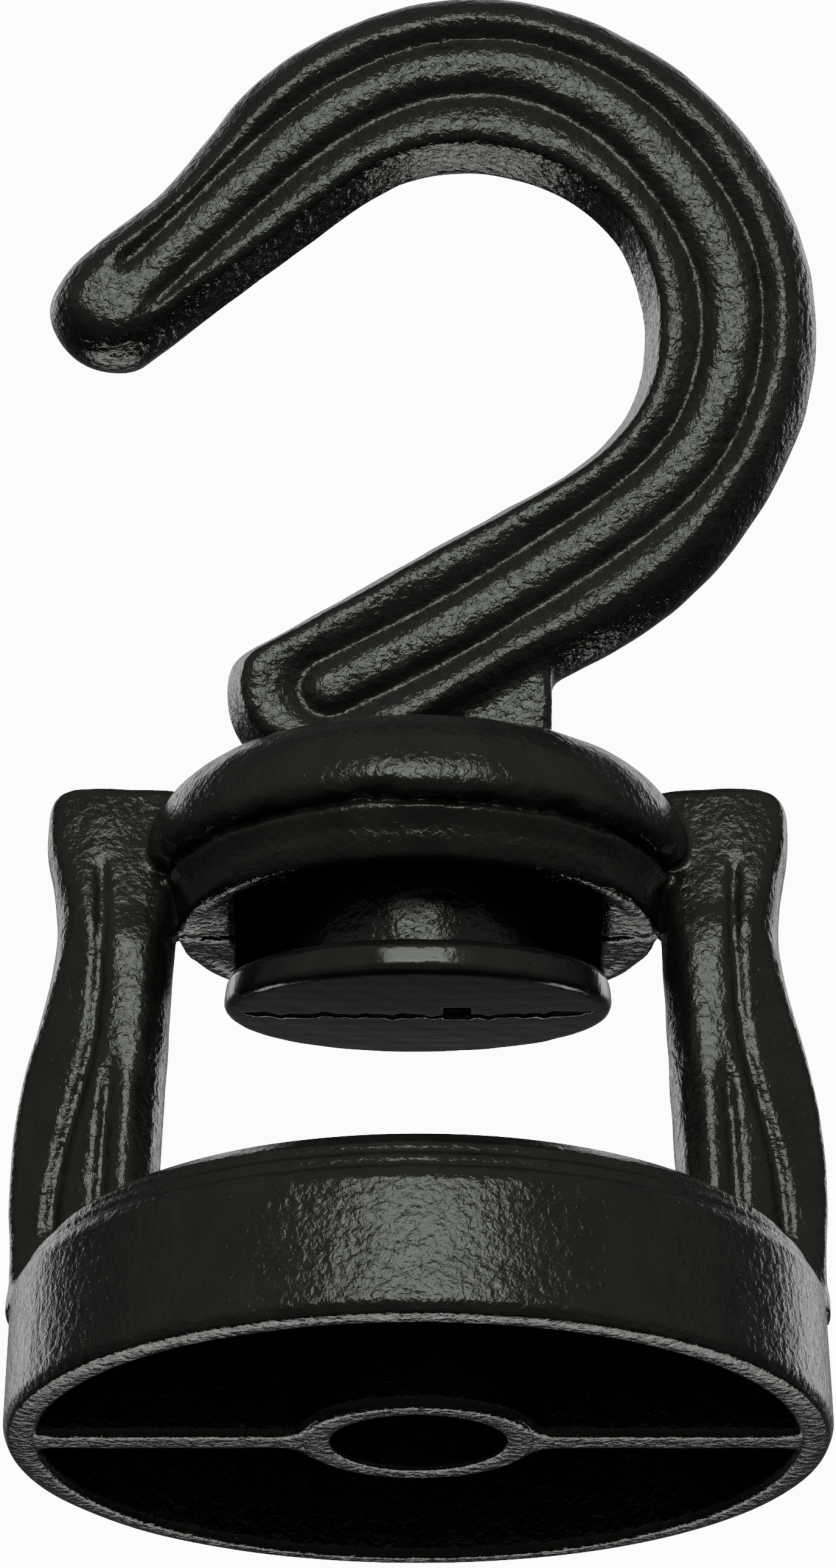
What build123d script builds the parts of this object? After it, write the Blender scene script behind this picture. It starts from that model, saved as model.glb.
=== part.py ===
"""Swivel ceiling hook: a cast yoke with a round ceiling cup, and a hook that turns in the yoke's collar.

The cup's open rim is at Z = 0 and the hook points up, as the object stands on a bench.
In use the whole thing hangs the other way up, with the rim against the ceiling.
"""
from build123d import *
import os

# ---- driving dimensions, in millimetres ----
CUP_DIAMETER = 44.0
CUP_WALL = 1.95
CUP_WALL_HEIGHT = 7.9      # where the outer wall turns in to the shoulder
CUP_HEIGHT = 12.6          # top of the cup, where the screw head seats
CUP_DEPTH = 9.8            # inside ceiling above the rim
HUB_DIAMETER = 13.1
SCREW_HOLE_DIAMETER = 9.3
WEB_THICKNESS = 3.2

ARM_DEPTH = 7.0            # front to back
ARM_TOP = 36.0
ARM_EDGE_ROUND = 1.0
ARM_FOOT = 8.2             # how low the arms reach on the cup's shoulder

COLLAR_BEAD_RADIUS = 14.6  # the bead's widest place
COLLAR_BEAD_HEIGHT = 32.6  # height of the bead's widest place
COLLAR_TOP_RADIUS = 11.1   # where the bead is highest
COLLAR_TOP = 37.05
COLLAR_CREASE = 31.5       # where the bead meets the skirt
COLLAR_RIM = 28.5          # lower edge of the collar's skirt
COLLAR_SEAT = 33.3         # underside of the collar's plate
COLLAR_SKIRT_RADIUS = 13.0
COLLAR_SKIRT_WALL = 1.6
BORE_RADIUS = 7.2
BORE_TOP = 34.5
COLLAR_WEB_START = 9.7     # inner face of each solid web under the collar, from the axis

STEM_RADIUS = 6.85
CAP_RADIUS = 10.5
CAP_TOP = -6.55            # heights on the hook are measured from the pivot
CAP_BOTTOM = -8.7
HOOK_DEPTH = 7.0           # front to back
HOOK_EDGE_ROUND = 1.4
HOOK_BASE = 4.5            # flat underside of the heel
NECK_BASE = 4.0
NECK_HALF_WIDTH = 7.2
NECK_DEPTH = 4.8
NECK_TOP = 11.0

PIVOT_HEIGHT = 33.0        # middle of the collar's bore
LEAN = 7.5                 # degrees the loose hook leans towards the front at rest

CUP_RADIUS = CUP_DIAMETER / 2
HUB_RADIUS = HUB_DIAMETER / 2
SCREW_HOLE_RADIUS = SCREW_HOLE_DIAMETER / 2
CUP_INNER_RADIUS = CUP_RADIUS - CUP_WALL
CUP_CEILING_RADIUS = CUP_INNER_RADIUS - 0.7    # the inside wall is drafted


def turned(points):
    """A ring or disc: a closed outline of (radius, height) turned about Z."""
    return revolve(make_face(Plane.XZ * Polyline(*points, close=True)), Axis.Z)


def slab(outline, depth, edge_round):
    """An outline in the XZ plane given a depth, half each way, with its front and back edges rounded."""
    block = extrude(make_face(Plane.XZ * outline), amount=depth / 2, both=True)
    return fillet(block.faces().filter_by(Plane.XZ).edges(), edge_round)


def cup_cavity():
    """The hollow inside the cup, wider at the rim, with a chamfered ceiling."""
    return turned([
        (0, 0),
        (CUP_INNER_RADIUS + 0.3, 0),
        (CUP_CEILING_RADIUS, CUP_DEPTH - 1.5),
        (CUP_CEILING_RADIUS - 1.5, CUP_DEPTH),
        (0, CUP_DEPTH),
    ])


def cup_outside():
    """The cup's outer form: a drafted wall, two fine steps on the shoulder and a low dome on top."""
    return turned([
        (0, 0),
        (CUP_RADIUS - 0.9, 0),
        (CUP_RADIUS - 0.3, 0.25),
        (CUP_RADIUS, 0.9),
        (CUP_RADIUS - 0.35, CUP_WALL_HEIGHT),
        (CUP_RADIUS - 0.8, CUP_WALL_HEIGHT + 0.6),
        (CUP_RADIUS - 1.1, CUP_WALL_HEIGHT + 0.7),
        (CUP_RADIUS - 1.6, CUP_WALL_HEIGHT + 1.8),
        (CUP_RADIUS - 2.0, CUP_WALL_HEIGHT + 1.9),
        (CUP_RADIUS - 3.6, CUP_WALL_HEIGHT + 3.2),
        (CUP_RADIUS - 8.0, CUP_HEIGHT - 0.3),
        (CUP_RADIUS - 12.0, CUP_HEIGHT),
        (0, CUP_HEIGHT),
    ])


def cup_body():
    """Open cup with a screw hole through its top."""
    screw_hole = Cylinder(SCREW_HOLE_RADIUS, 2 * CUP_HEIGHT)
    return cup_outside() - cup_cavity() - screw_hole


def screw_hub():
    """Tube for the ceiling screw, from the rim plane to the cup's ceiling."""
    tube = Cylinder(HUB_RADIUS, CUP_DEPTH, align=(Align.CENTER, Align.CENTER, Align.MIN))
    hole = Cylinder(SCREW_HOLE_RADIUS, CUP_DEPTH, align=(Align.CENTER, Align.CENTER, Align.MIN))
    return tube - hole


def cup_web(side):
    """Flat web on one side, from the hub to the inside of the cup's wall."""
    bar = Box(CUP_RADIUS, WEB_THICKNESS, CUP_DEPTH, align=(Align.MIN, Align.CENTER, Align.MIN))
    if side < 0:
        bar = mirror(bar, about=Plane.YZ)
    hub = Cylinder(HUB_RADIUS, 2 * CUP_DEPTH)
    return (bar & cup_cavity()) - hub


def collar_body():
    """Swivel collar: a round bead over a short skirt, with a plate and a bore inside."""
    skirt_inner = COLLAR_SKIRT_RADIUS - COLLAR_SKIRT_WALL
    crease = (COLLAR_SKIRT_RADIUS, COLLAR_CREASE)
    widest = (COLLAR_BEAD_RADIUS, COLLAR_BEAD_HEIGHT)
    top = (COLLAR_TOP_RADIUS, COLLAR_TOP)
    lip = (BORE_RADIUS + 1.0, BORE_TOP + 0.8)
    outline = Curve() + [
        Polyline(crease, (COLLAR_BEAD_RADIUS - 0.4, COLLAR_CREASE + 0.2), widest),
        ThreePointArc(widest, (COLLAR_BEAD_RADIUS - 0.85, COLLAR_BEAD_HEIGHT + 2.55), top),
        ThreePointArc(top, (COLLAR_TOP_RADIUS - 1.6, COLLAR_TOP - 0.43), lip),
        Polyline(
            lip,
            (BORE_RADIUS, BORE_TOP),
            (BORE_RADIUS, COLLAR_SEAT),
            (skirt_inner - 0.3, COLLAR_SEAT),
            (skirt_inner, COLLAR_SEAT - 0.4),
            (skirt_inner + 0.2, COLLAR_RIM),
            (COLLAR_SKIRT_RADIUS - 0.3, COLLAR_RIM),
            (COLLAR_SKIRT_RADIUS, COLLAR_RIM + 0.3),
            crease,
        ),
    ]
    return revolve(make_face(Plane.XZ * outline), Axis.Z)


def collar_web(side):
    """Solid web filling the collar's skirt at the root of an arm, level with the skirt's rim."""
    height = COLLAR_SEAT - COLLAR_RIM
    inside = Pos(0, 0, COLLAR_RIM) * Cylinder(
        COLLAR_SKIRT_RADIUS - COLLAR_SKIRT_WALL / 2, height, align=(Align.CENTER, Align.CENTER, Align.MIN)
    )
    block = Pos(COLLAR_WEB_START, 0, COLLAR_RIM) * Box(
        COLLAR_SKIRT_RADIUS, 2 * COLLAR_SKIRT_RADIUS, height, align=(Align.MIN, Align.CENTER, Align.MIN)
    )
    if side < 0:
        block = mirror(block, about=Plane.YZ)
    return (block & inside) - collar_body()


def arm(side):
    """One arm of the yoke: straight inside, waisted outside, swelling to the cup's wall."""
    outer_edge = Spline(
        (19.7, ARM_TOP - 1.2),
        (19.9, 33.4),
        (19.4, 29.8),
        (19.8, 25.4),
        (21.0, 20.6),
        (21.75, 15.4),
        (CUP_RADIUS - 0.35, ARM_FOOT),
    )
    outline = Curve() + [
        outer_edge,
        Polyline((CUP_RADIUS - 0.35, ARM_FOOT), (14.1, ARM_FOOT), (12.6, ARM_TOP), (18.5, ARM_TOP)),
        RadiusArc((18.5, ARM_TOP), (19.7, ARM_TOP - 1.2), 1.25),
    ]
    blade = slab(outline, ARM_DEPTH, ARM_EDGE_ROUND)
    if side < 0:
        blade = mirror(blade, about=Plane.YZ)
    inside_collar = Pos(0, 0, COLLAR_RIM) * Cylinder(
        COLLAR_SKIRT_RADIUS, ARM_TOP, align=(Align.CENTER, Align.CENTER, Align.MIN)
    )
    round_outside = Cylinder(CUP_RADIUS - 0.25, 2 * ARM_TOP)
    return (blade & round_outside) - inside_collar - collar_body() - cup_outside()


def hook_casting():
    """Flat hook band with a square neck under it, standing upright on the pivot."""
    outer_edge = Spline(
        (7.4, 9.8),
        (13.8, 13.7),
        (18.5, 19.25),
        (21.4, 26.5),
        (20.9, 34.3),
        (17.1, 41.2),
        (10.4, 46.25),
        (3.3, 48.0),
        (-3.4, 46.6),
        (-9.15, 42.9),
        (-13.9, 37.1),
    )
    inner_edge = Curve() + [
        Line((-14.6, 27.6), (-4.4, 35.4)),
        Spline((-4.4, 35.4), (0.3, 38.0), (6.1, 37.6), (10.7, 34.3), (12.2, 30.0), (11.5, 25.1), (7.0, 20.7),
               tangents=((0.8, 0.6), (-0.87, -0.49))),
        Line((7.0, 20.7), (-7.9, 12.2)),
    ]
    tip_end = Spline((-13.9, 37.1), (-18.1, 33.6), (-20.0, 30.4), (-18.2, 27.6), (-14.6, 27.6))
    heel_end = ThreePointArc((-7.9, 12.2), (-10.4, 9.2), (-8.8, HOOK_BASE + 0.9))
    base = Polyline((-8.8, HOOK_BASE + 0.9), (-7.4, HOOK_BASE), (-2.0, HOOK_BASE), (7.4, 9.8))
    outline = Curve() + [outer_edge, tip_end, inner_edge, heel_end, base]
    band = slab(outline, HOOK_DEPTH, HOOK_EDGE_ROUND)
    neck = Pos(0, 0, NECK_BASE) * Box(
        2 * NECK_HALF_WIDTH, NECK_DEPTH, NECK_TOP - NECK_BASE, align=(Align.CENTER, Align.CENTER, Align.MIN)
    )
    return band + neck


def swivel_stem():
    """Round stem that turns in the collar's bore."""
    return Pos(0, 0, CAP_TOP) * Cylinder(
        STEM_RADIUS, NECK_BASE - CAP_TOP, align=(Align.CENTER, Align.CENTER, Align.MIN)
    )


def retaining_cap():
    """Flat round cap on the stem's end, too wide for the collar."""
    disc = Pos(0, 0, CAP_BOTTOM) * Cylinder(
        CAP_RADIUS, CAP_TOP - CAP_BOTTOM, align=(Align.CENTER, Align.CENTER, Align.MIN)
    )
    return fillet(disc.edges().filter_by(GeomType.CIRCLE), 0.6)


def leaning(piece):
    """Stands a hook piece on the pivot and leans it forward, as it rests in its loose collar."""
    return Pos(0, 0, PIVOT_HEIGHT) * Rot(LEAN, 0, 0) * piece


parts = {
    "ceiling_cup": cup_body(),
    "screw_hub": screw_hub(),
    "cup_webs": Compound(children=[cup_web(-1), cup_web(1)]),
    "left_arm": arm(-1),
    "right_arm": arm(1),
    "swivel_collar": collar_body(),
    "collar_webs": Compound(children=[collar_web(-1), collar_web(1)]),
    "swivel_stem": leaning(swivel_stem()),
    "retaining_cap": leaning(retaining_cap()),
    "hook": leaning(hook_casting()),
}

os.makedirs("parts", exist_ok=True)
for name, shape in parts.items():
    export_step(shape, f"parts/{name}.step")
    print(name, round(shape.volume, 1))
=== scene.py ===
import math

import bpy
import numpy as np
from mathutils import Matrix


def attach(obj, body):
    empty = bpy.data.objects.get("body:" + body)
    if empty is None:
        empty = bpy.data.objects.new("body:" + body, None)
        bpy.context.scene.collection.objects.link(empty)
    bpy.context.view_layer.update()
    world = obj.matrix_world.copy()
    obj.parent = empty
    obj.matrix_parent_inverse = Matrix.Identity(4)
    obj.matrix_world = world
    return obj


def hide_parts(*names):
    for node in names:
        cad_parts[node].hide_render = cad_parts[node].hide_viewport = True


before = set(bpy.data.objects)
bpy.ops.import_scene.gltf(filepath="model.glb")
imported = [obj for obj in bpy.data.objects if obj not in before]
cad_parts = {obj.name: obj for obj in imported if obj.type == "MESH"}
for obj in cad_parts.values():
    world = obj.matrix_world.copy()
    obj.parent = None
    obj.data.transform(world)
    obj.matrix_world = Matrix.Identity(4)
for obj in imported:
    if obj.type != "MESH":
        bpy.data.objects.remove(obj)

import openvdb as vdb
from mathutils import Vector

# The swivel ceiling hook's look: iron castings with reeded faces under one coat of gloss black enamel.
# Lengths are millimetres in the CAD model's frame, and a mesh is scaled to metres when it is made.
# The hook, the stem and the cap are shaped upright, with heights counted from the pivot, and then leaned.
MM = 0.001
PIVOT_HEIGHT = 33.0
LEAN = math.radians(7.5)

CUP_RADIUS = 22.0
CUP_DEPTH = 9.8
CUP_HEIGHT = 12.6
CUP_WALL_INSIDE = 20.3
CUP_WALL_DRAFT = 0.085
HUB_RADIUS = 6.55
SCREW_HOLE_RADIUS = 4.65
WEB_HALF_THICKNESS = 1.6
WEB_DRAFT = 0.035
WEB_DRAFT_FROM = 10

ARM_HALF_DEPTH = 3.5
ARM_TOP = 36.0
ARM_FOOT = 7.0
ARM_INSIDE = 14.1
ARM_INSIDE_DRAFT = 0.054
ARM_INSIDE_FROM = 8.2
ARM_REED_DEPTH = 0.62
COLLAR_TOP = 37.05
COLLAR_CREASE = 31.5
COLLAR_RIM = 28.5
COLLAR_SEAT = 33.3
BORE_RADIUS = 7.2
BORE_TOP = 34.5
HOLLOW_RADIUS = 11.5
HOLLOW_FROM = 26.0
HOLLOW_TOP = 33.2
HOLLOW_HALF_WIDTH = 9.75

HOOK_HALF_DEPTH = 3.5
HOOK_REED_DEPTH = 0.72
NECK_HALF_WIDTH = 7.2
NECK_HALF_DEPTH = 2.4
NECK_BASE = 4.0
NECK_TOP = 11.5

STEM_RADIUS = 6.85
CAP_RADIUS = 10.5
CAP_TOP = -6.55
CAP_BOTTOM = -8.7
CAP_LINE_DEPTH = 0.6

# How finely the pieces are made: spacings in millimetres, and counts.
CASTING_STEP = 0.22
WEB_STEP = 0.24
CAP_STEP = 0.16
TABLE_STEP = 0.1
SPLINE_STEPS = 14
LATHE_TURNS = 300
LATHE_LONGEST = 0.8

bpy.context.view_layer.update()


# ---- distance fields: negative inside the metal, in millimetres ----
def lattice(low, high, step):
    """Open grid axes over a box, ready to broadcast."""
    return np.ix_(*[np.arange(a, b + step, step, dtype=np.float32) for a, b in zip(low, high)])


def soft_min(a, b, blend):
    """Union of two fields with a fillet about as wide as blend."""
    share = np.clip(0.5 + 0.5 * (b - a) / blend, 0, 1)
    return b + (a - b) * share - blend * share * (1 - share)


def soft_max(a, b, blend):
    """Intersection of two fields with a rounded edge."""
    return -soft_min(-a, -b, blend)


def smooth_step(value, low, high):
    """0 below low and 1 above high, with an S between them; the other way round where low is the higher."""
    share = np.clip((value - low) / (high - low), 0, 1)
    return share * share * (3 - 2 * share)


def ripple(x, y, z, wavelength, seed):
    """Gentle seeded unevenness, about -1 to 1: a sum of waves in random directions."""
    waves, level = 9, 4
    chance = np.random.default_rng(seed)
    total = 0
    for _ in range(waves):
        way = chance.normal(size=3)
        way *= 2 * math.pi / (wavelength * chance.uniform(0.7, 1.5) * np.linalg.norm(way))
        total = total + np.sin(way[0] * x + way[1] * y + way[2] * z + chance.uniform(0, 2 * math.pi))
    return (total / level).astype(np.float32)


def spline(points, start=None, end=None):
    """Smooth curve through points, as a fine polyline. It ends freely, or along a given direction."""
    points = np.array(points, float)
    gap = np.linalg.norm(np.diff(points, axis=0), axis=1)
    count = len(points)
    left, right = np.zeros((count, count)), np.zeros((count, 2))
    for i in range(1, count - 1):
        left[i, i - 1:i + 2] = gap[i], 2 * (gap[i - 1] + gap[i]), gap[i - 1]
        right[i] = 3 * (gap[i] * (points[i] - points[i - 1]) / gap[i - 1]
                        + gap[i - 1] * (points[i + 1] - points[i]) / gap[i])
    if start is None:
        left[0, :2] = 2, 1
        right[0] = 3 * (points[1] - points[0]) / gap[0]
    else:
        left[0, 0] = 1
        right[0] = start
    if end is None:
        left[-1, -2:] = 1, 2
        right[-1] = 3 * (points[-1] - points[-2]) / gap[-1]
    else:
        left[-1, -1] = 1
        right[-1] = end
    slopes = np.linalg.solve(left, right)
    s = np.linspace(0, 1, SPLINE_STEPS, endpoint=False)[:, None]
    pieces = [
        (2 * s**3 - 3 * s**2 + 1) * points[i] + (s**3 - 2 * s**2 + s) * gap[i] * slopes[i]
        + (3 * s**2 - 2 * s**3) * points[i + 1] + (s**3 - s**2) * gap[i] * slopes[i + 1]
        for i in range(count - 1)
    ]
    return np.vstack(pieces + [points[-1:]])


def line_distance(line, u, v):
    """Distance from every (u, v) to a polyline, and how far along it the nearest place is, from 0 to 1."""
    u, v = np.broadcast_arrays(u, v)
    nearest = np.full(u.shape, np.inf)
    along = np.zeros(u.shape)
    smallest = 1e-12
    lengths = np.linalg.norm(np.diff(line, axis=0), axis=1)
    total, done = lengths.sum(), 0.0
    for (au, av), (bu, bv), length in zip(line[:-1], line[1:], lengths):
        du, dv = bu - au, bv - av
        share = np.clip(((u - au) * du + (v - av) * dv) / max(length**2, smallest), 0, 1)
        squared = (u - au - share * du) ** 2 + (v - av - share * dv) ** 2
        closer = squared < nearest
        nearest = np.where(closer, squared, nearest)
        along = np.where(closer, (done + share * length) / total, along)
        done += length
    return np.sqrt(nearest), along


def outline_distance(outline, u, v):
    """Signed distance to a closed outline, negative inside."""
    closed = np.vstack([outline, outline[:1]])
    distance, _ = line_distance(closed, u, v)
    u, v = np.broadcast_arrays(u, v)
    inside = np.zeros(u.shape, bool)
    for (au, av), (bu, bv) in zip(closed[:-1], closed[1:]):
        if av != bv:
            inside ^= ((av > v) != (bv > v)) & (u < (bu - au) * (v - av) / (bv - av) + au)
    return np.where(inside, -distance, distance).astype(np.float32)


def turned_field(outline, x, y, z):
    """Field of an outline of (radius, height) turned about Z, read between the values of a fine table."""
    outline = np.array(outline, float)
    radius = np.sqrt(x * x + y * y)
    margin = 0.5
    low = float(np.min(z)) - margin
    radii = np.arange(0, float(radius.max()) + margin, TABLE_STEP)[:, None]
    heights = np.arange(low, float(np.max(z)) + margin, TABLE_STEP)[None, :]
    table = outline_distance(outline, radii, heights)
    radius, z = np.broadcast_arrays(radius, z)
    a, b = radius / TABLE_STEP, (z - low) / TABLE_STEP
    i = np.clip(a.astype(np.int32), 0, table.shape[0] - 2)
    j = np.clip(b.astype(np.int32), 0, table.shape[1] - 2)
    a, b = a - i, b - j
    return ((table[i, j] * (1 - a) + table[i + 1, j] * a) * (1 - b)
            + (table[i, j + 1] * (1 - a) + table[i + 1, j + 1] * a) * b).astype(np.float32)


def blurred(table):
    """A table over x and height, with its sharpest creases eased."""
    for axis in (0, 2):
        table = 0.5 * table + 0.25 * (np.roll(table, 1, axis) + np.roll(table, -1, axis))
    return table


# ---- meshes ----
def new_object(name, points, faces):
    """Mesh object from points in millimetres and equal-sized faces, smooth, with its normals outward."""
    points, faces = np.asarray(points, float), np.asarray(faces, int)
    corner = points[faces]
    volume = np.einsum("ij,ij->", corner[:, 0], np.cross(corner[:, 1], corner[:, 2]))
    volume += np.einsum("ij,ij->", corner[:, 0], np.cross(corner[:, 2], corner[:, -1]))
    if volume < 0:
        faces = faces[:, ::-1]
    mesh = bpy.data.meshes.new(name)
    mesh.vertices.add(len(points))
    mesh.vertices.foreach_set("co", (points * MM).ravel())
    size = faces.shape[1]
    mesh.loops.add(faces.size)
    mesh.loops.foreach_set("vertex_index", faces.ravel())
    mesh.polygons.add(len(faces))
    mesh.polygons.foreach_set("loop_start", np.arange(0, faces.size, size))
    mesh.polygons.foreach_set("loop_total", np.full(len(faces), size))
    mesh.update(calc_edges=True)
    mesh.validate()
    mesh.shade_smooth()
    piece = bpy.data.objects.new(name, mesh)
    bpy.context.scene.collection.objects.link(piece)
    return piece


def eased(piece):
    """Irons out the steps of the lattice."""
    smooth = piece.modifiers.new("ease", "SMOOTH")
    smooth.factor = 0.5
    smooth.iterations = 1
    with bpy.context.temp_override(object=piece, active_object=piece):
        bpy.ops.object.modifier_apply(modifier=smooth.name)
    return piece


def lean(points):
    """Moves points given from the pivot to where the leaning hook has them."""
    x, y, h = points.T
    return np.column_stack([
        x,
        y * math.cos(LEAN) - h * math.sin(LEAN),
        PIVOT_HEIGHT + y * math.sin(LEAN) + h * math.cos(LEAN),
    ])


def cast(name, field, low, step, leaning=False):
    """Mesh of a field's surface."""
    band = 3 * step
    grid = vdb.FloatGrid(band)
    grid.copyFromArray(np.ascontiguousarray(np.clip(field, -band, band), np.float32))
    points, quads = grid.convertToQuads(isovalue=0.0)
    points = points.astype(float) * step + np.array(low)
    if leaning:
        points = lean(points)
    return eased(new_object(name, points, quads))


def softened(corners, reach):
    """A closed outline with each corner replaced by a small curve."""
    longest_share, curve_points = 0.45, 7
    corners = np.array(corners, float)
    points = []
    for i, here in enumerate(corners):
        before, after = corners[i - 1] - here, corners[(i + 1) % len(corners)] - here
        start = here + before * min(longest_share, reach / np.linalg.norm(before))
        stop = here + after * min(longest_share, reach / np.linalg.norm(after))
        for s in np.linspace(0, 1, curve_points):
            points.append((1 - s) ** 2 * start + 2 * s * (1 - s) * here + s * s * stop)
    return np.array(points)


def lathe(name, outline):
    """A closed outline of (radius, height) turned about Z, very slightly uneven."""
    unevenness, least_radius = 0.03, 3
    profile = []
    for a, b in zip(outline, np.roll(outline, -1, axis=0)):
        count = max(1, int(np.linalg.norm(b - a) / LATHE_LONGEST))
        profile += [a + (b - a) * k / count for k in range(count)]
    profile = np.array(profile)
    angle = np.linspace(0, 2 * math.pi, LATHE_TURNS, endpoint=False)[:, None]
    radius, height = profile[:, 0][None, :], profile[:, 1][None, :]
    x, y = radius * np.cos(angle), radius * np.sin(angle)
    z = np.broadcast_to(height, x.shape)
    swell = 1 + unevenness * ripple(x, y, z, wavelength=7, seed=1) / np.maximum(radius, least_radius)
    points = np.column_stack([(x * swell).ravel(), (y * swell).ravel(), z.ravel()])
    rows, size = np.arange(LATHE_TURNS)[:, None], len(profile)
    cols = np.arange(size)[None, :]
    next_row, next_col = (rows + 1) % LATHE_TURNS, (cols + 1) % size
    faces = np.stack([rows * size + cols, next_row * size + cols,
                      next_row * size + next_col, rows * size + next_col], axis=-1).reshape(-1, 4)
    return new_object(name, points, faces)


def joined(*pieces):
    """The pieces as one mesh, under the first one's name."""
    with bpy.context.temp_override(active_object=pieces[0], selected_editable_objects=list(pieces)):
        bpy.ops.object.join()
    return pieces[0]


# ---- the cup: outlines of (radius, height) ----
HUB_LIP = [(SCREW_HOLE_RADIUS, 0.05), (5.2, 0), (6.1, 0), (HUB_RADIUS, 0.45)]
CUP_INSIDE = [(HUB_RADIUS, CUP_DEPTH), (17.85, CUP_DEPTH), (19.35, 8.3), (20.05, 0.35), (20.35, 0)]
CUP_OUTSIDE = [
    (21.1, 0), (21.75, 0.15), (CUP_RADIUS, 0.75), (21.66, 7.6), (21.35, 8.2), (20.98, 8.45), (20.92, 8.95),
    (20.7, 9.15), (20.15, 9.4), (20.08, 9.9), (19.8, 10.15), (18.4, 11.0), (14, 12.3), (10, CUP_HEIGHT),
]


def cup_webs():
    """The two webs across the inside of the cup, with fillets where they meet the metal around them."""
    low, high = (-21.2, -4.4, -0.5), (21.2, 4.4, 10.6)
    fillet, fillet_reach, bite = 1.0, 3.6, 0.06
    root_in_hub, root_in_top = 0.7, 0.4
    root_in_wall, root_draft = 20.6, 0.07
    x, y, z = lattice(low, high, WEB_STEP)
    radius = np.sqrt(x * x + y * y)
    web = soft_max(np.abs(y) - WEB_HALF_THICKNESS + WEB_DRAFT * (WEB_DRAFT_FROM - z), -z, 0.45)
    to_wall = CUP_WALL_INSIDE - CUP_WALL_DRAFT * z - radius + bite
    into = np.minimum(radius - HUB_RADIUS + bite, to_wall)
    into = np.minimum(into, CUP_DEPTH + bite - z)
    field = soft_min(web, soft_max(into, 0.08 - z, 0.4), fillet)
    field = np.maximum(field, np.abs(y) - fillet_reach)
    roots = np.maximum(HUB_RADIUS - root_in_hub - radius, radius - root_in_wall + root_draft * z)
    field = np.maximum(field, roots)
    field = np.maximum(field, z - CUP_DEPTH - root_in_top)
    field = np.maximum(field + 0.03 * ripple(x, y, z, wavelength=4, seed=3), 0.02 - z)
    return cast("webs", field, low, WEB_STEP)


def ceiling_cup():
    """Cup, shoulder steps and screw hub in one turned outline, with the two webs cast across the inside."""
    outline = [(SCREW_HOLE_RADIUS, CUP_HEIGHT)] + HUB_LIP + CUP_INSIDE + CUP_OUTSIDE
    shell = lathe("ceiling_cup", softened(outline, reach=0.22))
    return joined(shell, cup_webs())


# ---- the arms and the collar: lines of (height, distance from the middle) ----
ARM_OUTER_EDGE = [(6.0, 21.6), (8.2, 21.65), (15.4, 21.75), (20.6, 21.0), (25.4, 19.8), (29.8, 19.4),
                  (33.4, 19.9), (36.5, 19.7)]
OUTER_GROOVE = [(7, 19.5), (15.2, 18.9), (18.2, 18.1), (21.8, 17.2), (25.7, 16.85), (27.8, 16.75), (33, 16.9)]
INNER_GROOVE = [(7, 17.1), (13.7, 16.85), (16.7, 16.7), (20, 16.5), (23.3, 16.4), (25.7, 16.15), (27.8, 16.0),
                (33, 16.0)]


def at_height(line, z):
    """Distance from the middle at each height of a smooth line."""
    fine = spline(line)
    return np.interp(z, fine[:, 0], fine[:, 1]).astype(np.float32)


def arm_dips(across, z, rib_start):
    """How far the arm's face dips between its three reeds, from 0 on a crest to 1 in a groove."""
    groove_out, groove_in = at_height(OUTER_GROOVE, z), at_height(INNER_GROOVE, z)
    inner_rib = (across - 0.5 * (rib_start + groove_in)) / (0.5 * (groove_in - rib_start))
    middle_rib = (across - 0.5 * (groove_in + groove_out)) / (0.5 * (groove_out - groove_in))
    inner_part = 1 - smooth_step(z, 18.6, 21.0)
    outer_part = 1 - smooth_step(z, 31.0, 32.6)
    outer_width = 0.7
    dip_inner = np.abs(inner_rib) ** 2.5 * inner_part
    dip_middle = np.abs(middle_rib) ** 4 * np.where(middle_rib < 0, inner_part, outer_part)
    dip_outer = np.clip(1 - (across - groove_out) / outer_width, 0, 1) ** 1.5 * outer_part
    return np.where(across < groove_in, dip_inner, np.where(across < groove_out, dip_middle, dip_outer))


def arm_field(x, y, z):
    """Both arms: drafted inside, rounded outside, with a reeded front and back."""
    across, depth = np.abs(x), np.abs(y)
    inner = ARM_INSIDE - ARM_INSIDE_DRAFT * (z - ARM_INSIDE_FROM)
    rib_start = inner + 1.0
    dip = blurred(ARM_REED_DEPTH * np.clip(1.15 * arm_dips(across, z, rib_start), 0, 1))

    # The face falls away from a crest on the inner reed, which moves outward and grows blunter near the top.
    rising = smooth_step(z, 26.0, 31.0)
    crest = 15.4 + 1.4 * rising
    bluntness = 1.7 + 3.0 * rising
    crown = 0.5 * (np.sqrt(bluntness**2 + (across - crest) ** 2) - bluntness)

    # Front and back lean towards each other near the top.
    lean_from = 27.0
    set_back = 0.17 * np.maximum(z - lean_from, 0) * smooth_step(z, 26.0, 29.5)
    relief = ARM_HALF_DEPTH - 0.05 - dip - crown - set_back
    front = depth - relief

    inside = 0.105 * depth**2 - (across - inner)
    outside = 0.125 * depth**2 - (at_height(ARM_OUTER_EDGE, z) - across)
    top = 0.03 * depth**2 - (ARM_TOP + 0.55 - z)
    inner_edge, top_corner, outer_edge = 0.35, 1.4, 0.5
    field = soft_max(front, inside, inner_edge)
    field = soft_max(field, soft_max(outside, top, top_corner), outer_edge)
    return field.astype(np.float32)


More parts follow.
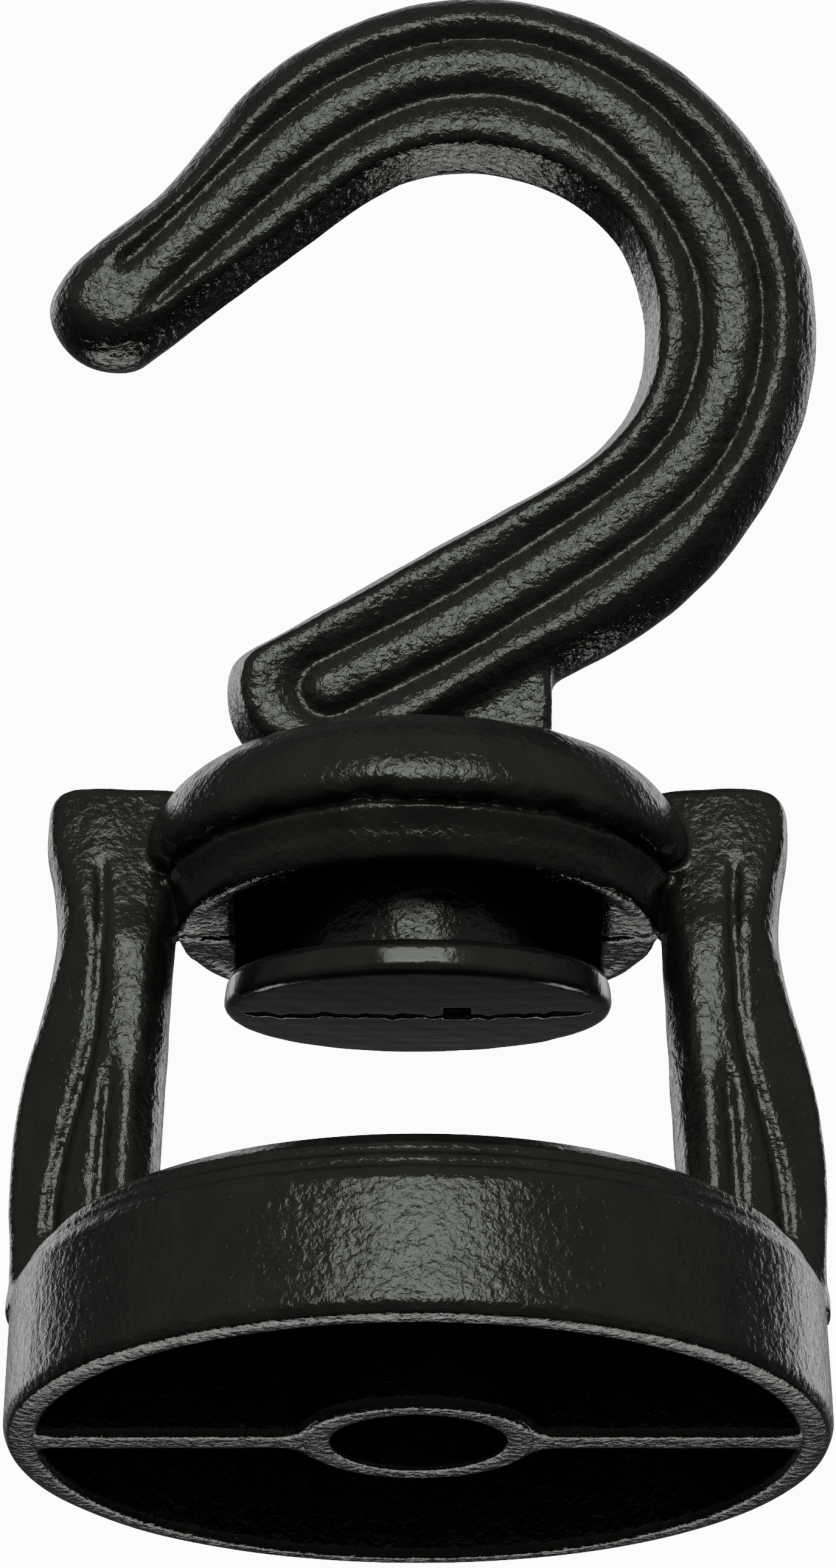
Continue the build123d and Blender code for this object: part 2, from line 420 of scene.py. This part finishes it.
def collar_outline():
    """Rounded bead over a short skirt, with a plate and a bore inside, as points of (radius, height)."""
    bead = spline([(13.9, 31.55), (14.45, 31.95), (14.62, 32.6), (14.45, 33.7), (13.85, 35.0), (12.8, 36.15),
                   (11.3, 36.95), (9.6, 36.7), (8.2, 35.4)])
    plate = [(BORE_RADIUS, BORE_TOP), (BORE_RADIUS, COLLAR_SEAT), (11.1, COLLAR_SEAT), (11.4, 32.9)]
    skirt = [(11.6, 28.7), (11.8, COLLAR_RIM), (12.3, COLLAR_RIM), (12.6, 28.75), (12.98, 29.5),
             (13.02, 29.8), (13.2, 30.2), (13.7, 31.05), (12.9, 31.45)]
    return np.vstack([bead, plate, skirt])


def collar_field(x, y, z):
    """Collar with a ragged crease over its skirt."""
    crease_width = 0.6
    ragged = 0.13 * ripple(x, y, 0 * z, wavelength=1.6, seed=11)
    ragged = ragged + 0.1 * ripple(x, y, 0 * z, wavelength=4.5, seed=12)
    ragged = ragged * np.exp(-((z - COLLAR_CREASE) / crease_width) ** 2)
    return turned_field(collar_outline(), x, y, z + ragged)


def ledge_field(x, y, z, radius):
    """The collar's two webs at the arms' roots, each with a parting line across its underside."""
    ledge_radius, ledge_inside, ledge_top = 12.9, 9.7, 32
    line_height, line_width = 0.3, 0.27
    wander = 0.12 * ripple(x, 0 * y, 0 * z, wavelength=1.5, seed=14)
    parting = line_height * np.exp(-((y - wander) / line_width) ** 2)
    plan = soft_max(radius - ledge_radius, ledge_inside - np.abs(x), 0.5)
    underside = COLLAR_RIM + 0.04 * np.abs(y) - 0.1 + parting - z
    return soft_max(np.maximum(plan, z - ledge_top), underside, 0.4)


def yoke_arms():
    """Arms and collar in one casting, with fillets where they meet each other and the cup."""
    low, high = (-22.4, -14.7, ARM_FOOT), (22.4, 14.7, COLLAR_TOP + 0.5)
    x, y, z = lattice(low, high, CASTING_STEP)
    radius = np.sqrt(x * x + y * y)
    arms = arm_field(x, y, z)
    hollow = np.maximum(radius - HOLLOW_RADIUS, np.maximum(HOLLOW_FROM - z, z - HOLLOW_TOP))
    hollow = np.maximum(hollow, np.abs(x) - HOLLOW_HALF_WIDTH)
    collar = np.minimum(collar_field(x, y, z), ledge_field(x, y, z, radius))
    field = soft_min(arms, collar, 0.35)
    field = np.maximum(field, -hollow)
    field = np.maximum(field, BORE_RADIUS - radius)

    # Where the arms stand on the cup, the casting reaches a little way into it.
    foot, foot_fillet, foot_reach = 20, 1.5, 1.6
    sunk, foot_depth = 0.14, 0.45
    cup = turned_field([(0, 0)] + CUP_OUTSIDE + [(0, CUP_HEIGHT)], x, y, z) + sunk
    field = np.where(z < foot, soft_min(field, cup, foot_fillet), field)
    field = np.maximum(field, -(cup + foot_depth))
    field = np.where(z < foot, np.maximum(field, arms - foot_reach), field)
    field = np.maximum(field, radius - CUP_RADIUS + 0.1)
    field = field + 0.035 * ripple(x, y, z, wavelength=3.2, seed=5)
    return cast("yoke_arms", field, low, CASTING_STEP)


# ---- the hook: lines of (x, height over the pivot) ----
OUTER_EDGE = [(7.4, 9.8), (13.8, 13.7), (18.5, 19.25), (21.4, 26.5), (20.9, 34.3), (17.1, 41.2),
              (10.4, 46.25), (3.3, 48.0), (-3.4, 46.6), (-9.15, 42.9), (-13.9, 37.1)]
TIP_END = [(-18.1, 33.6), (-20.0, 30.4), (-18.2, 27.6), (-14.6, 27.6)]
BOWL = [(-4.4, 35.4), (0.3, 38.0), (6.1, 37.6), (10.7, 34.3), (12.2, 30.0), (11.5, 25.1), (7.0, 20.7)]
HEEL = [(-7.9, 12.2), (-10.0, 10.6), (-10.35, 9.0), (-10.0, 7.2), (-8.8, 5.4)]
HEEL_FOOT = [(-7.4, 4.5), (-2.0, 4.5)]
MIDDLE_RIB = [(-4.8, 8.75), (-1.7, 10.3), (1.7, 12.1), (6.9, 15.4), (11.2, 18.4), (14.7, 21.8), (16.7, 26.5),
              (16.7, 32.0), (14.2, 37.0), (10.4, 41.0), (5.4, 43.3), (0.3, 43.1), (-5.8, 40.0), (-10.9, 35.4),
              (-15.6, 30.7)]
RIB_PLACES = [0, 0.25, 0.45, 0.7, 0.9, 1]
RIB_HALF_WIDTHS = [1.5, 1.5, 1.65, 1.5, 1.3, 1.35]
TIP_DIRECTION = (0.79, 0.61)
BOWL_START = (0.8, 0.6)
BOWL_END = (-0.87, -0.49)


def hook_dips(edge, from_rib, along, side):
    """How far the hook's face dips beside its middle rib, from 0 on a crest to 1 in a groove."""
    half = np.interp(along, RIB_PLACES, RIB_HALF_WIDTHS)
    crest = 1.25 + 0.35 * side
    middle = np.clip(from_rib / half, 0, 1) ** 4
    beyond = np.maximum(from_rib - half, 0)
    share = beyond / (beyond + np.maximum(edge - crest, 0) + 0.15)
    flank = (1 - np.clip(share, 0, 1)) ** 3
    return np.where(from_rib < half, middle, flank)


def band_field(x, y, h):
    """The hook's band: three reeds on each face, a drafted inside and a rounded outside and tip."""
    mouth = np.vstack([TIP_END[-1:], spline(BOWL, BOWL_START, BOWL_END), HEEL[:1]])
    around = spline(OUTER_EDGE + TIP_END, end=TIP_DIRECTION)
    outline = np.vstack([around, mouth[1:], spline(HEEL)[1:], HEEL_FOOT])
    edge = -outline_distance(outline, x, h)
    edge = edge + 0.02 * ripple(x, 0 * h, h, wavelength=3.0, seed=21)
    from_mouth, _ = line_distance(mouth, x, h)
    from_outer, _ = line_distance(spline(OUTER_EDGE), x, h)
    from_rib, along = line_distance(spline(MIDDLE_RIB), x, h)
    smallest = 1e-6
    side = smooth_step(from_mouth / (from_mouth + from_outer + smallest), 0.3, 0.7)
    dip = hook_dips(edge, from_rib, along, side)
    off_tip = smooth_step(np.hypot(x + 17.0, h - 30.0), 1.6, 3.2)
    relief = blurred(HOOK_HALF_DEPTH - 0.03 - HOOK_REED_DEPTH * off_tip * np.clip(1.2 * dip, 0, 1))
    depth = np.abs(y)
    rounding = np.maximum(side, 1 - smooth_step(np.hypot(x + 18.0, h - 29.5), 3.0, 8.0))
    draft = (1 - rounding) * 0.27 * depth + rounding * 0.125 * depth**2
    return soft_max(depth - relief, draft - edge, 0.6)


def hook_casting():
    """Reeded hook band with its square neck."""
    low, high = (-21.0, -4.2, 3.4), (22.4, 4.2, 49.0)
    x, y, h = lattice(low, high, CASTING_STEP)
    neck_plan = np.maximum(np.abs(x) - NECK_HALF_WIDTH, h - NECK_TOP)
    neck = soft_max(neck_plan, np.abs(y) - NECK_HALF_DEPTH, 0.5)
    neck = np.maximum(neck, NECK_BASE - h)
    field = soft_min(band_field(x, y, h), neck, 0.6)
    field = np.maximum(field, NECK_BASE - h) + 0.03 * ripple(x, y, h, wavelength=3.2, seed=7)
    return cast("hook", field, low, CASTING_STEP, leaning=True)


# ---- the stem and its cap ----
def swivel_stem():
    """Round stem in the collar."""
    low, high = (-7.6, -7.6, CAP_TOP - 0.4), (7.6, 7.6, NECK_BASE + 0.5)
    x, y, h = lattice(low, high, CASTING_STEP)
    ends = np.maximum(h - NECK_BASE, CAP_TOP - h)
    field = soft_max(np.sqrt(x * x + y * y) - STEM_RADIUS, ends, 0.3)
    field = field + 0.03 * ripple(x, y, h, wavelength=2.4, seed=8)
    return cast("swivel_stem", field, low, CASTING_STEP, leaning=True)


def retaining_cap():
    """Flat cap on the stem's end, with the ragged line its mould halves left across the underside."""
    low, high = (-11.2, -11.2, CAP_BOTTOM - 0.6), (11.2, 11.2, CAP_TOP + 0.6)
    x, y, h = lattice(low, high, CAP_STEP)
    radius = np.sqrt(x * x + y * y)
    crown = 0.002 * (CAP_RADIUS**2 - radius**2)
    faces = np.maximum(h - CAP_TOP, CAP_BOTTOM + 0.2 - crown - h)
    side = radius - CAP_RADIUS + 0.12 * (h - CAP_BOTTOM)
    field = soft_max(side, faces, 0.7)

    line = 0.3 * ripple(x, 0 * y, 0 * h, wavelength=1.3, seed=31)
    line = line + 0.2 * ripple(x, 0 * y, 0 * h, wavelength=4.0, seed=32)
    width = 0.42 + 0.14 * ripple(x, 0 * y, 0 * h, wavelength=2.0, seed=33)
    reach = smooth_step(np.abs(x), 9.6, 8.4)
    line_floor = h - CAP_BOTTOM - CAP_LINE_DEPTH
    groove = np.maximum(np.abs(y - line) - width * reach, line_floor)
    chip_x, chip_y, chip_half_width, chip_half_length = 2.1, -0.8, 0.7, 1.4
    chip = np.maximum(np.abs(x - chip_x) - chip_half_width, np.abs(y - chip_y) - chip_half_length)
    chip = np.maximum(chip, line_floor)
    field = np.maximum(field, -np.minimum(groove, chip))
    field = field + 0.012 * ripple(x, y, h, wavelength=2.4, seed=9)
    return cast("retaining_cap", field, low, CAP_STEP, leaning=True)


# ---- enamel ----
YOKE_BLACK = (0.0185, 0.0190, 0.0155)
HOOK_BLACK = (0.0190, 0.0195, 0.0165)


def enamel(name, base, skin):
    """Gloss black enamel over a sand-cast skin: fine wrinkles, a few pinholes and slightly duller patches.

    skin is how rough the casting under the enamel is.
    """
    material = bpy.data.materials.new(name)
    material.use_nodes = True
    nodes, links = material.node_tree.nodes, material.node_tree.links
    shader = nodes["Principled BSDF"]
    shader.inputs["IOR"].default_value = 1.5
    shader.inputs["Specular Tint"].default_value = (0.97, 1, 0.87, 1)
    where = nodes.new("ShaderNodeTexCoord").outputs["Object"]

    def noise(scale, detail, roughness, distortion=0.0):
        node = nodes.new("ShaderNodeTexNoise")
        node.inputs["Scale"].default_value = scale
        node.inputs["Detail"].default_value = detail
        node.inputs["Roughness"].default_value = roughness
        node.inputs["Distortion"].default_value = distortion
        links.new(where, node.inputs["Vector"])
        return node.outputs["Fac"]

    def ramp(source, stops):
        node = nodes.new("ShaderNodeValToRGB")
        while len(node.color_ramp.elements) < len(stops):
            node.color_ramp.elements.new(0.5)
        for element, (position, colour) in zip(node.color_ramp.elements, stops):
            element.position = position
            element.color = (*colour, 1)
        links.new(source, node.inputs["Fac"])
        return node.outputs["Color"]

    def bump(height, distance, strength, before=None):
        node = nodes.new("ShaderNodeBump")
        node.inputs["Distance"].default_value = distance
        node.inputs["Strength"].default_value = strength
        links.new(height, node.inputs["Height"])
        if before is not None:
            links.new(before, node.inputs["Normal"])
        return node.outputs["Normal"]

    def grey(level):
        return (level, level, level)

    patches = noise(scale=420, detail=4, roughness=0.6)
    colour = ramp(patches, [(0.3, [c * 0.75 for c in base]), (0.7, [c * 1.25 for c in base])])
    links.new(colour, shader.inputs["Base Color"])
    dullness = ramp(noise(scale=900, detail=5, roughness=0.65), [(0.35, grey(0.12)), (0.7, grey(0.22))])
    links.new(dullness, shader.inputs["Roughness"])
    swells = bump(noise(scale=800, detail=2, roughness=0.5), distance=0.0001 * skin, strength=0.5)
    creases = noise(scale=2300, detail=3, roughness=0.55, distortion=0.4)
    wrinkles = bump(creases, distance=0.00007 * skin, strength=0.8, before=swells)
    pits = ramp(noise(scale=2600, detail=1, roughness=0.5), [(0.2, grey(0)), (0.24, grey(1))])
    links.new(bump(pits, distance=0.00006, strength=0.8, before=wrinkles), shader.inputs["Normal"])
    return material


def dress(piece, material, body, slot, *nodes):
    """Gives a piece its material and its body, and hides the CAD nodes that it stands for."""
    piece.data.materials.clear()
    piece.data.materials.append(material)
    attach(piece, body)
    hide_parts(*nodes)


yoke_enamel = enamel("yoke_enamel", YOKE_BLACK, skin=1.5)
arm_enamel = enamel("arm_enamel", YOKE_BLACK, skin=1.5)
hook_enamel = enamel("hook_enamel", HOOK_BLACK, skin=2.0)
stem_enamel = enamel("stem_enamel", HOOK_BLACK, skin=1.0)
cap_enamel = enamel("cap_enamel", HOOK_BLACK, skin=0.35)
dress(ceiling_cup(), yoke_enamel, "yoke", "yoke_enamel", "ceiling_cup", "screw_hub", "cup_webs")
dress(yoke_arms(), arm_enamel, "yoke", "yoke_enamel", "left_arm", "right_arm", "swivel_collar", "collar_webs")
dress(swivel_stem(), stem_enamel, "stem", "hook_enamel", "swivel_stem")
dress(retaining_cap(), cap_enamel, "stem", "hook_enamel", "retaining_cap")
dress(hook_casting(), hook_enamel, "hook", "hook_enamel", "hook")


# ---- floor, light and camera ----
def floor():
    """Pale floor well below the object, because the camera looks up at it. It doesn't show in reflections."""
    size, height = 6, -0.6
    bpy.ops.mesh.primitive_plane_add(size=size, location=(0, 0, height))
    plane = bpy.context.object
    plane.name = "floor"
    material = bpy.data.materials.new("floor_paint")
    material.use_nodes = True
    shader = material.node_tree.nodes["Principled BSDF"]
    shader.inputs["Base Color"].default_value = (0.8, 0.8, 0.79, 1)
    shader.inputs["Roughness"].default_value = 0.7
    plane.data.materials.append(material)
    plane.visible_diffuse = False
    plane.visible_glossy = False


def softbox(name, place, aim, size, power, colour=(1, 1, 1)):
    """Rectangular area light, in metres and watts."""
    light = bpy.data.lights.new(name, "AREA")
    light.shape = "RECTANGLE"
    light.size, light.size_y = size
    light.energy = power
    light.color = colour
    lamp = bpy.data.objects.new(name, light)
    lamp.location = place
    lamp.rotation_euler = (Vector(aim) - Vector(place)).to_track_quat("-Z", "Y").to_euler()
    lamp.visible_camera = False
    bpy.context.scene.collection.objects.link(lamp)


def studio():
    """White surroundings for the camera, and for reflections a dim room with a bright wall at the back.

    Directions run from -1 to 1 along each axis, with the camera on the -Y side.
    """
    wall_level, room_front, room_back, backdrop = 2.0, 0.26, 0.09, 12.0
    world = bpy.data.worlds.new("studio")
    bpy.context.scene.world = world
    world.use_nodes = True
    nodes, links = world.node_tree.nodes, world.node_tree.links
    background = nodes["Background"]
    background.inputs["Color"].default_value = (1, 1, 1, 1)
    way = nodes.new("ShaderNodeSeparateXYZ")
    links.new(nodes.new("ShaderNodeTexCoord").outputs["Generated"], way.inputs[0])

    def fade(source, edges, levels):
        """The first level before the first edge and the second after the second, with an S between them."""
        node = nodes.new("ShaderNodeMapRange")
        node.interpolation_type = "SMOOTHSTEP"
        node.inputs["From Min"].default_value, node.inputs["From Max"].default_value = edges
        node.inputs["To Min"].default_value, node.inputs["To Max"].default_value = levels
        links.new(source, node.inputs["Value"])
        return node.outputs["Result"]

    def combined(kind, first, second):
        """Two sockets, or a socket and a number, through one Math node."""
        node = nodes.new("ShaderNodeMath")
        node.operation = kind
        links.new(first, node.inputs[0])
        if isinstance(second, float):
            node.inputs[1].default_value = second
        else:
            links.new(second, node.inputs[1])
        return node.outputs[0]

    back, up = way.outputs["Y"], way.outputs["Z"]
    wall = fade(back, (0.55, 0.75), (0, wall_level))
    wall = combined("MULTIPLY", wall, fade(back, (0.8, 0.9), (1, 0.08)))
    wall = combined("MULTIPLY", wall, fade(up, (0.0, 0.3), (0, 1)))
    wall = combined("MULTIPLY", wall, fade(up, (0.4, 0.75), (1, 0)))
    room = fade(back, (-0.3, 0.3), (room_front, room_back))
    room = combined("MULTIPLY", room, fade(up, (-0.5, 0.1), (0.4, 1)))
    camera_ray = nodes.new("ShaderNodeLightPath").outputs["Is Camera Ray"]
    seen = combined("MULTIPLY", camera_ray, backdrop)
    total = combined("ADD", combined("ADD", wall, room), seen)
    links.new(total, background.inputs["Strength"])


def lamps():
    """Two wide softboxes in front, and one low behind for the undersides."""
    cool = (0.93, 0.98, 1)
    softbox("key", place=(0, -1.15, 0.42), aim=(0, 0, 0.03), size=(0.85, 0.55), power=5.8, colour=cool)
    softbox("low", place=(0, -1.2, 0.14), aim=(0, 0, 0.04), size=(0.9, 0.2), power=1.7, colour=cool)
    softbox("under", place=(0, 0.9, -0.75), aim=(0, 0, 0.02), size=(1.2, 0.5), power=5.5)


def camera():
    """Long lens looking up by about 20 degrees. Places are in metres and the lens is in millimetres."""
    place, direction = (0, -0.6672, -0.2142), (0, 0.9357, 0.3527)
    lens = bpy.data.cameras.new("camera")
    lens.sensor_fit = "VERTICAL"
    lens.sensor_height = 36
    lens.lens = 303.9
    lens.clip_start = 0.05
    view = bpy.data.objects.new("camera", lens)
    view.location = place
    view.rotation_euler = Vector(direction).to_track_quat("-Z", "Y").to_euler()
    bpy.context.scene.collection.objects.link(view)
    bpy.context.scene.camera = view


floor()
studio()
lamps()
camera()
